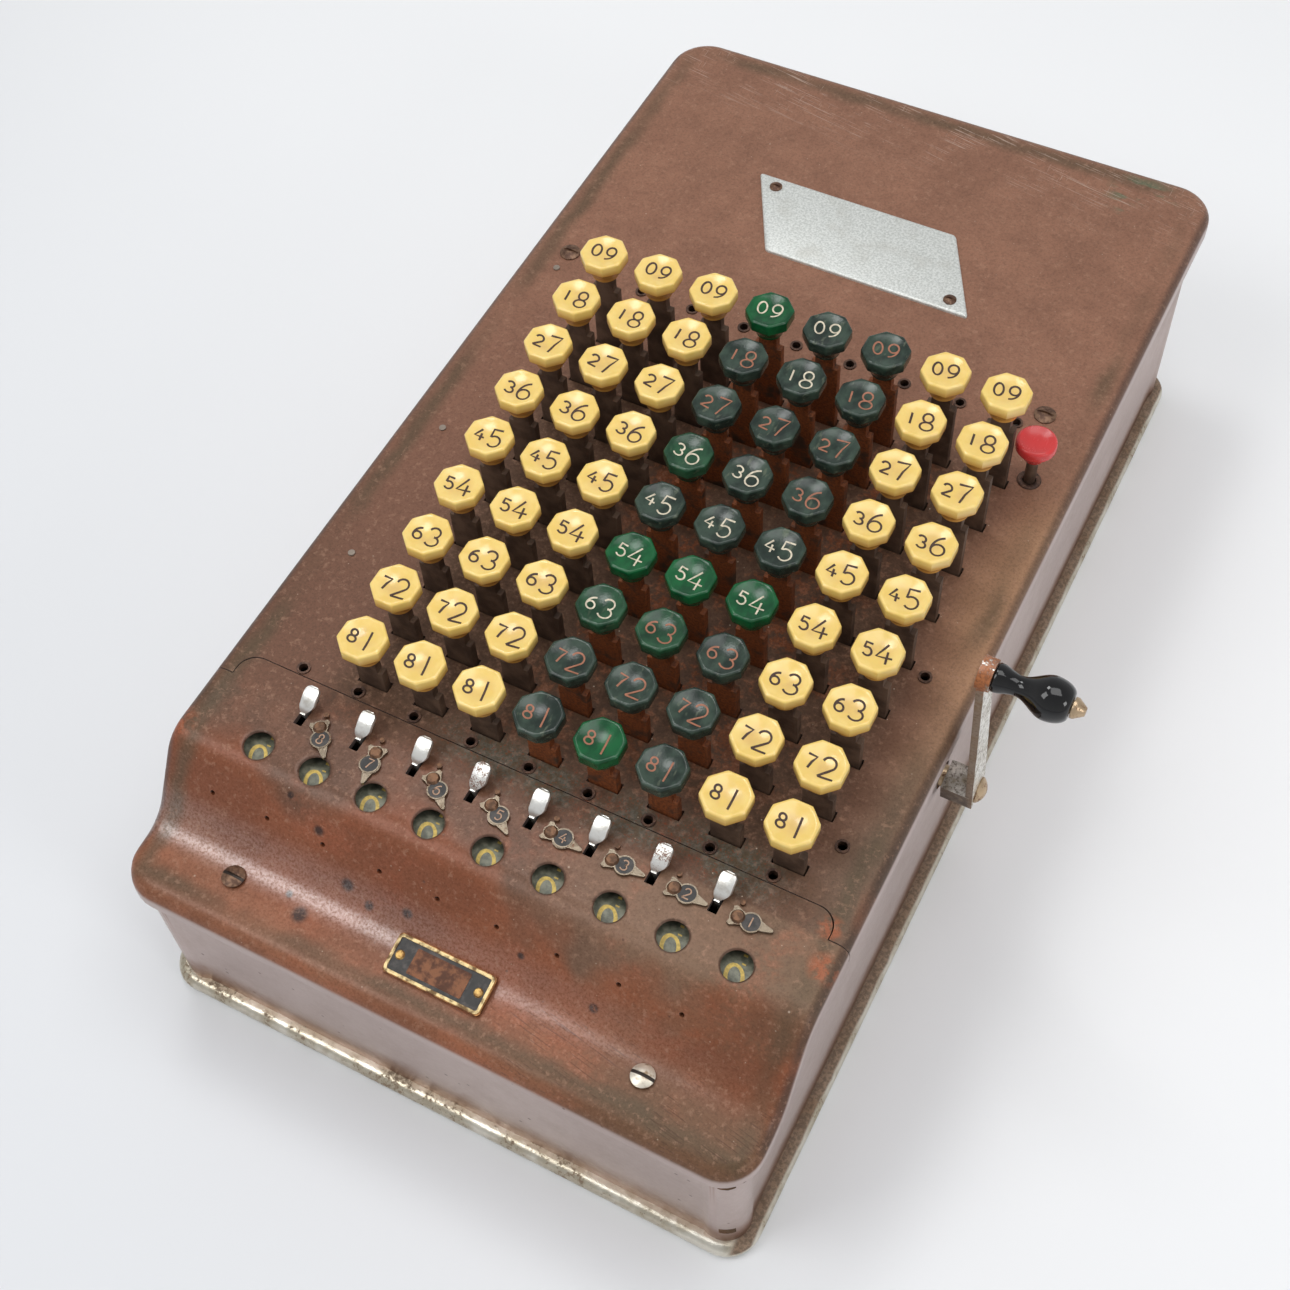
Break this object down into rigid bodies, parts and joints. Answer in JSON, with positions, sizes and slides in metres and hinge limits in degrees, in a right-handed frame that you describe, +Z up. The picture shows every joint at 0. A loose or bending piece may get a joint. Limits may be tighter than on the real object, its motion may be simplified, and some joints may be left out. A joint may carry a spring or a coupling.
{
  "type": "key-driven calculator",
  "caption": "Key-driven calculator with a sheet-metal case, a full board of octagonal keys, numeral wheels behind round windows, decimal pointers and a side crank.",
  "frame": {"origin": "centre of the rest face under the base rim", "axes": "+X to the operator's right, +Y away from the operator along the key columns, +Z up"},
  "size_m": [0.2383, 0.377, 0.1499],
  "materials": {
    "copper_case": "oxidised copper finish on sheet steel, satin, worn at the edges",
    "nickel_rim": "worn nickel plate with rust and dirt",
    "bright_nickel": "nickel plate, polished and pitted",
    "steel_works": "plain oiled steel",
    "rusty_stem": "brown browned steel with rust",
    "brass_trim": "dulled brass",
    "cream_key": "cream celluloid, aged yellow, with dark digits",
    "green_key": "dark green celluloid with pale digits",
    "red_key": "glossy red celluloid",
    "black_grip": "glossy black turned grip",
    "wheel_black": "matt black enamel with pale digits"
  },
  "bodies": {
    "root": {"base_plate": "nickel_rim", "case_shell": "copper_case", "top_plate": "copper_case", "front_cover": "copper_case", "case_screws": "bright_nickel", "name_plate": "bright_nickel", "number_tag": "brass_trim", "plate_rivets": "brass_trim", "side_frames": "steel_works", "key_guide": "steel_works", "cross_shafts": "steel_works", "lever_springs": "steel_works"},
    "key_row_1": {"key_caps_1": "cream_key", "key_stems_1": "rusty_stem"},
    "key_row_2": {"key_caps_2": "cream_key", "key_stems_2": "rusty_stem"},
    "key_row_3": {"key_caps_3": "cream_key", "key_stems_3": "rusty_stem"},
    "key_row_4": {"key_caps_4": "cream_key", "key_stems_4": "rusty_stem"},
    "key_row_5": {"key_caps_5": "cream_key", "key_stems_5": "rusty_stem"},
    "key_row_6": {"key_caps_6": "cream_key", "key_stems_6": "rusty_stem"},
    "key_row_7": {"key_caps_7": "cream_key", "key_stems_7": "rusty_stem"},
    "key_row_8": {"key_caps_8": "cream_key", "key_stems_8": "rusty_stem"},
    "key_row_9": {"key_caps_9": "cream_key", "key_stems_9": "rusty_stem"},
    "wheel_1": {"numeral_wheel_1": "wheel_black"},
    "wheel_2": {"numeral_wheel_2": "wheel_black"},
    "wheel_3": {"numeral_wheel_3": "wheel_black"},
    "wheel_4": {"numeral_wheel_4": "wheel_black"},
    "wheel_5": {"numeral_wheel_5": "wheel_black"},
    "wheel_6": {"numeral_wheel_6": "wheel_black"},
    "wheel_7": {"numeral_wheel_7": "wheel_black"},
    "wheel_8": {"numeral_wheel_8": "wheel_black"},
    "wheel_9": {"numeral_wheel_9": "wheel_black"},
    "pointer_1": {"decimal_pointer_1": "bright_nickel"},
    "pointer_2": {"decimal_pointer_2": "bright_nickel"},
    "pointer_3": {"decimal_pointer_3": "bright_nickel"},
    "pointer_4": {"decimal_pointer_4": "bright_nickel"},
    "pointer_5": {"decimal_pointer_5": "bright_nickel"},
    "pointer_6": {"decimal_pointer_6": "bright_nickel"},
    "pointer_7": {"decimal_pointer_7": "bright_nickel"},
    "pointer_8": {"decimal_pointer_8": "bright_nickel"},
    "cutoff_1": {"cutoff_lever_1": "bright_nickel"},
    "cutoff_2": {"cutoff_lever_2": "bright_nickel"},
    "cutoff_3": {"cutoff_lever_3": "bright_nickel"},
    "cutoff_4": {"cutoff_lever_4": "bright_nickel"},
    "cutoff_5": {"cutoff_lever_5": "bright_nickel"},
    "cutoff_6": {"cutoff_lever_6": "bright_nickel"},
    "cutoff_7": {"cutoff_lever_7": "bright_nickel"},
    "cutoff_8": {"cutoff_lever_8": "bright_nickel"},
    "column_levers": {"column_levers": "steel_works"},
    "crank": {"crank_arm": "bright_nickel", "crank_hardware": "bright_nickel"},
    "crank_grip": {"crank_handle": "black_grip"},
    "release": {"release_key": "red_key"}
  },
  "joints": [
    {"name": "key_row_1_press", "type": "slide", "parent": "root", "child": "key_row_1", "axis": [0, 0, -1], "range_m": [0, 0.00346], "stiffness_N_per_m": 400, "springref_m": -0.01},
    {"name": "key_row_2_press", "type": "slide", "parent": "root", "child": "key_row_2", "axis": [0, 0, -1], "range_m": [0, 0.00625], "stiffness_N_per_m": 400, "springref_m": -0.01},
    {"name": "key_row_3_press", "type": "slide", "parent": "root", "child": "key_row_3", "axis": [0, 0, -1], "range_m": [0, 0.00839], "stiffness_N_per_m": 400, "springref_m": -0.01},
    {"name": "key_row_4_press", "type": "slide", "parent": "root", "child": "key_row_4", "axis": [0, 0, -1], "range_m": [0, 0.00986], "stiffness_N_per_m": 400, "springref_m": -0.01},
    {"name": "key_row_5_press", "type": "slide", "parent": "root", "child": "key_row_5", "axis": [0, 0, -1], "range_m": [0, 0.01067], "stiffness_N_per_m": 400, "springref_m": -0.01},
    {"name": "key_row_6_press", "type": "slide", "parent": "root", "child": "key_row_6", "axis": [0, 0, -1], "range_m": [0, 0.01081], "stiffness_N_per_m": 400, "springref_m": -0.01},
    {"name": "key_row_7_press", "type": "slide", "parent": "root", "child": "key_row_7", "axis": [0, 0, -1], "range_m": [0, 0.0103], "stiffness_N_per_m": 400, "springref_m": -0.01},
    {"name": "key_row_8_press", "type": "slide", "parent": "root", "child": "key_row_8", "axis": [0, 0, -1], "range_m": [0, 0.00913], "stiffness_N_per_m": 400, "springref_m": -0.01},
    {"name": "key_row_9_press", "type": "slide", "parent": "root", "child": "key_row_9", "axis": [0, 0, -1], "range_m": [0, 0.00729], "stiffness_N_per_m": 400, "springref_m": -0.01},
    {"name": "wheel_1_turn", "type": "hinge", "parent": "root", "child": "wheel_1", "pos_m": [-0.07497, -0.1404, 0.0803], "axis": [1, 0, 0], "continuous": true},
    {"name": "wheel_2_turn", "type": "hinge", "parent": "root", "child": "wheel_2", "pos_m": [-0.05593, -0.1404, 0.0803], "axis": [1, 0, 0], "continuous": true},
    {"name": "wheel_3_turn", "type": "hinge", "parent": "root", "child": "wheel_3", "pos_m": [-0.03687, -0.1404, 0.0803], "axis": [1, 0, 0], "continuous": true},
    {"name": "wheel_4_turn", "type": "hinge", "parent": "root", "child": "wheel_4", "pos_m": [-0.01783, -0.1404, 0.0803], "axis": [1, 0, 0], "continuous": true},
    {"name": "wheel_5_turn", "type": "hinge", "parent": "root", "child": "wheel_5", "pos_m": [0.00122, -0.1404, 0.0803], "axis": [1, 0, 0], "continuous": true},
    {"name": "wheel_6_turn", "type": "hinge", "parent": "root", "child": "wheel_6", "pos_m": [0.02028, -0.1404, 0.0803], "axis": [1, 0, 0], "continuous": true},
    {"name": "wheel_7_turn", "type": "hinge", "parent": "root", "child": "wheel_7", "pos_m": [0.03932, -0.1404, 0.0803], "axis": [1, 0, 0], "continuous": true},
    {"name": "wheel_8_turn", "type": "hinge", "parent": "root", "child": "wheel_8", "pos_m": [0.05838, -0.1404, 0.0803], "axis": [1, 0, 0], "continuous": true},
    {"name": "wheel_9_turn", "type": "hinge", "parent": "root", "child": "wheel_9", "pos_m": [0.07742, -0.1404, 0.0803], "axis": [1, 0, 0], "continuous": true},
    {"name": "pointer_1_swing", "type": "hinge", "parent": "root", "child": "pointer_1", "pos_m": [-0.06162, -0.1282, 0.09695], "axis": [0, 0, 1], "range_deg": [-39, 56]},
    {"name": "pointer_2_swing", "type": "hinge", "parent": "root", "child": "pointer_2", "pos_m": [-0.04258, -0.1282, 0.09695], "axis": [0, 0, 1], "range_deg": [-9, 86]},
    {"name": "pointer_3_swing", "type": "hinge", "parent": "root", "child": "pointer_3", "pos_m": [-0.02353, -0.1282, 0.09695], "axis": [0, 0, 1], "range_deg": [-47, 48]},
    {"name": "pointer_4_swing", "type": "hinge", "parent": "root", "child": "pointer_4", "pos_m": [-0.00447, -0.1282, 0.09695], "axis": [0, 0, 1], "range_deg": [-55, 40]},
    {"name": "pointer_5_swing", "type": "hinge", "parent": "root", "child": "pointer_5", "pos_m": [0.01457, -0.1282, 0.09695], "axis": [0, 0, 1], "range_deg": [-83, 12]},
    {"name": "pointer_6_swing", "type": "hinge", "parent": "root", "child": "pointer_6", "pos_m": [0.03363, -0.1282, 0.09695], "axis": [0, 0, 1], "range_deg": [-88, 7]},
    {"name": "pointer_7_swing", "type": "hinge", "parent": "root", "child": "pointer_7", "pos_m": [0.05267, -0.1282, 0.09695], "axis": [0, 0, 1], "range_deg": [-87, 8]},
    {"name": "pointer_8_swing", "type": "hinge", "parent": "root", "child": "pointer_8", "pos_m": [0.07172, -0.1282, 0.09695], "axis": [0, 0, 1], "range_deg": [-91, 4]},
    {"name": "cutoff_1_swing", "type": "hinge", "parent": "root", "child": "cutoff_1", "pos_m": [-0.06872, -0.1174, 0.074], "axis": [1, 0, 0], "range_deg": [0, 6], "stiffness_Nm_per_rad": 0.02, "springref_deg": -17.19},
    {"name": "cutoff_2_swing", "type": "hinge", "parent": "root", "child": "cutoff_2", "pos_m": [-0.04967, -0.1174, 0.074], "axis": [1, 0, 0], "range_deg": [0, 6], "stiffness_Nm_per_rad": 0.02, "springref_deg": -17.19},
    {"name": "cutoff_3_swing", "type": "hinge", "parent": "root", "child": "cutoff_3", "pos_m": [-0.03062, -0.1174, 0.074], "axis": [1, 0, 0], "range_deg": [0, 6], "stiffness_Nm_per_rad": 0.02, "springref_deg": -17.19},
    {"name": "cutoff_4_swing", "type": "hinge", "parent": "root", "child": "cutoff_4", "pos_m": [-0.01158, -0.1174, 0.074], "axis": [1, 0, 0], "range_deg": [0, 6], "stiffness_Nm_per_rad": 0.02, "springref_deg": -17.19},
    {"name": "cutoff_5_swing", "type": "hinge", "parent": "root", "child": "cutoff_5", "pos_m": [0.00747, -0.1174, 0.074], "axis": [1, 0, 0], "range_deg": [0, 6], "stiffness_Nm_per_rad": 0.02, "springref_deg": -17.19},
    {"name": "cutoff_6_swing", "type": "hinge", "parent": "root", "child": "cutoff_6", "pos_m": [0.02652, -0.1174, 0.074], "axis": [1, 0, 0], "range_deg": [0, 6], "stiffness_Nm_per_rad": 0.02, "springref_deg": -17.19},
    {"name": "cutoff_7_swing", "type": "hinge", "parent": "root", "child": "cutoff_7", "pos_m": [0.04557, -0.1174, 0.074], "axis": [1, 0, 0], "range_deg": [0, 6], "stiffness_Nm_per_rad": 0.02, "springref_deg": -17.19},
    {"name": "cutoff_8_swing", "type": "hinge", "parent": "root", "child": "cutoff_8", "pos_m": [0.06463, -0.1174, 0.074], "axis": [1, 0, 0], "range_deg": [0, 6], "stiffness_Nm_per_rad": 0.02, "springref_deg": -17.19},
    {"name": "column_levers_swing", "type": "hinge", "parent": "root", "child": "column_levers", "pos_m": [0.01075, 0.08464, 0.048], "axis": [1, 0, 0], "range_deg": [0, 9.28], "stiffness_Nm_per_rad": 2, "springref_deg": -17.19},
    {"name": "crank_pull", "type": "hinge", "parent": "root", "child": "crank", "pos_m": [0.099, -0.0404, 0.055], "axis": [1, 0, 0], "range_deg": [0, 60], "stiffness_Nm_per_rad": 0.3, "springref_deg": -28.65},
    {"name": "crank_grip_turn", "type": "hinge", "parent": "crank", "child": "crank_grip", "pos_m": [0.12165, -0.05734, 0.1438], "axis": [1, 0, 0], "continuous": true},
    {"name": "release_press", "type": "slide", "parent": "root", "child": "release", "axis": [0, 0, -1], "range_m": [0, 0.006], "stiffness_N_per_m": 300, "springref_m": -0.005}
  ]
}
